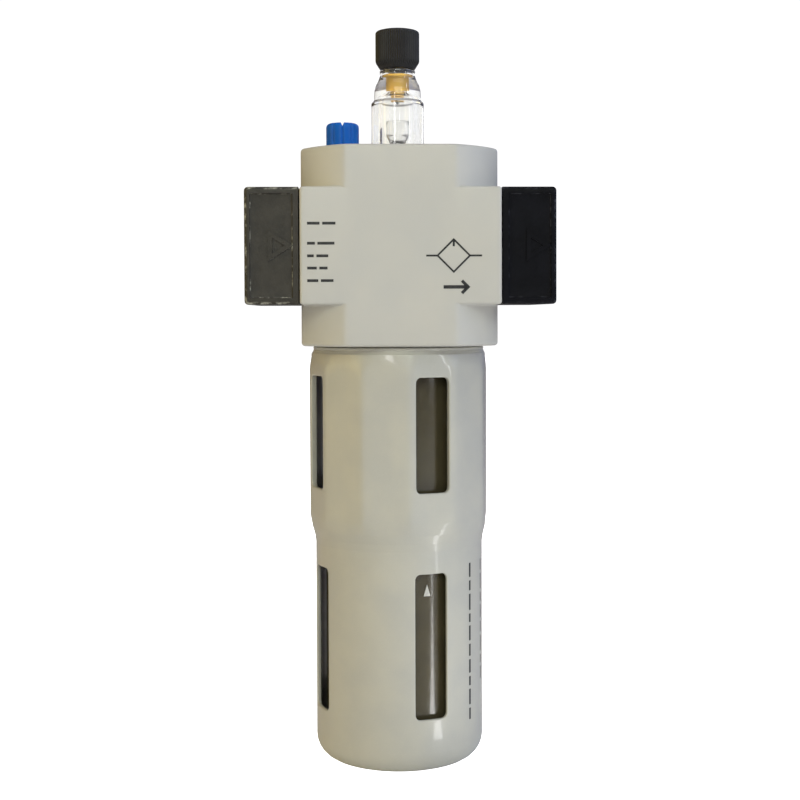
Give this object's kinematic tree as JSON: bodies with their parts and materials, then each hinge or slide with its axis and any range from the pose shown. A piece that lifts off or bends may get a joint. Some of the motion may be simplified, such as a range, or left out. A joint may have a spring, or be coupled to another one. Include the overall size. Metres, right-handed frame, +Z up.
{
  "type": "compressed air lubricator",
  "caption": "Modular air-line lubricator with painted body and windowed bowl guard, black port plates, clear sight dome, splined adjusting knob and oil filler plug.",
  "frame": {"origin": "middle of the body's flat back face, at the height of the port axis", "axes": "+Z up along the bowl, +X along the air flow from inlet to outlet, +Y out of the back face"},
  "size_m": [0.085, 0.055, 0.2096],
  "materials": {
    "body_paint": "satin light grey paint on die-cast metal",
    "guard_paint": "glossy light grey paint",
    "plate_black": "black paint on die-cast metal",
    "steel": "bright",
    "clear_plastic": "clear moulded",
    "oil_clear": "clear moulded",
    "brass": "turned",
    "knob_black": "moulded",
    "plug_blue": "moulded",
    "seal_rubber": "moulded",
    "insert_white": "moulded",
    "bronze": "sintered"
  },
  "bodies": {
    "housing": {"body_housing": "body_paint", "inlet_connection_plate": "plate_black", "outlet_connection_plate": "plate_black", "inlet_plate_o_ring": "seal_rubber", "outlet_plate_o_ring": "seal_rubber", "sight_dome": "clear_plastic", "dome_o_ring": "seal_rubber", "drip_funnel": "clear_plastic", "needle_bush": "brass", "needle_o_ring": "seal_rubber", "venturi_insert": "insert_white", "flap_pin": "steel", "siphon_tube": "insert_white", "siphon_strainer": "bronze", "charge_valve_spring": "steel", "charge_valve_retainer": "brass", "inlet_plate_screw_1": "steel", "inlet_plate_screw_2": "steel", "inlet_plate_screw_3": "steel", "inlet_plate_screw_4": "steel", "outlet_plate_screw_1": "steel", "outlet_plate_screw_2": "steel", "outlet_plate_screw_3": "steel", "outlet_plate_screw_4": "steel"},
    "needle": {"adjusting_needle": "steel"},
    "knob": {"adjusting_knob": "knob_black"},
    "plug_seal": {"filler_plug_o_ring": "seal_rubber"},
    "plug": {"filler_plug": "plug_blue"},
    "bowl": {"bowl": "oil_clear", "bowl_o_ring": "seal_rubber"},
    "slip_ring": {"guard_slip_ring": "insert_white"},
    "guard": {"bowl_guard": "guard_paint"},
    "flap": {"damper_flap": "insert_white"},
    "charge_ball": {"charge_valve_ball": "steel"},
    "siphon_ball": {"siphon_check_ball": "steel"}
  },
  "joints": [
    {"name": "needle_lift", "type": "slide", "parent": "housing", "child": "needle", "axis": [0, 0, 1], "range_m": [0, 0.0015]},
    {"name": "knob_turn", "type": "hinge", "parent": "needle", "child": "knob", "pos_m": [0, -0.0275, 0.055], "axis": [0, 0, 1], "range_deg": [0, 1085]},
    {"name": "filler_plug_lift", "type": "slide", "parent": "housing", "child": "plug_seal", "axis": [0, 0, 1], "range_m": [0, 0.00875]},
    {"name": "filler_plug_turn", "type": "hinge", "parent": "plug_seal", "child": "plug", "pos_m": [-0.0159, -0.0275, 0.03], "axis": [0, 0, 1], "range_deg": [0, 2530]},
    {"name": "bowl_removal", "type": "slide", "parent": "housing", "child": "bowl", "axis": [0, 0, -1], "range_m": [0, 0.125]},
    {"name": "guard_travel", "type": "slide", "parent": "bowl", "child": "slip_ring", "axis": [0, 0, -1], "range_m": [0, 0.0081]},
    {"name": "guard_turn", "type": "hinge", "parent": "slip_ring", "child": "guard", "pos_m": [0, -0.0275, -0.08], "axis": [0, 0, 1], "range_deg": [-1440, 0]},
    {"name": "damper_swing", "type": "hinge", "parent": "housing", "child": "flap", "pos_m": [-0.0032, -0.0275, 0.0046], "axis": [0, -1, 0], "range_deg": [0, 60], "stiffness_Nm_per_rad": 0.001},
    {"name": "charge_valve_travel", "type": "slide", "parent": "housing", "child": "charge_ball", "axis": [0, 0, -1], "range_m": [0, 0.0009], "stiffness_N_per_m": 60, "deforming": ["charge_valve_spring"]},
    {"name": "siphon_ball_lift", "type": "slide", "parent": "housing", "child": "siphon_ball", "axis": [0, 0, 1], "range_m": [0, 0.0014]}
  ],
  "couplings": [
    {"joint": "knob_turn", "follows": "needle_lift", "rad_per_m": 12566},
    {"joint": "filler_plug_turn", "follows": "filler_plug_lift", "rad_per_m": 5026.5},
    {"joint": "guard_travel", "follows": "guard_turn", "m_per_rad": -0.00031831}
  ]
}
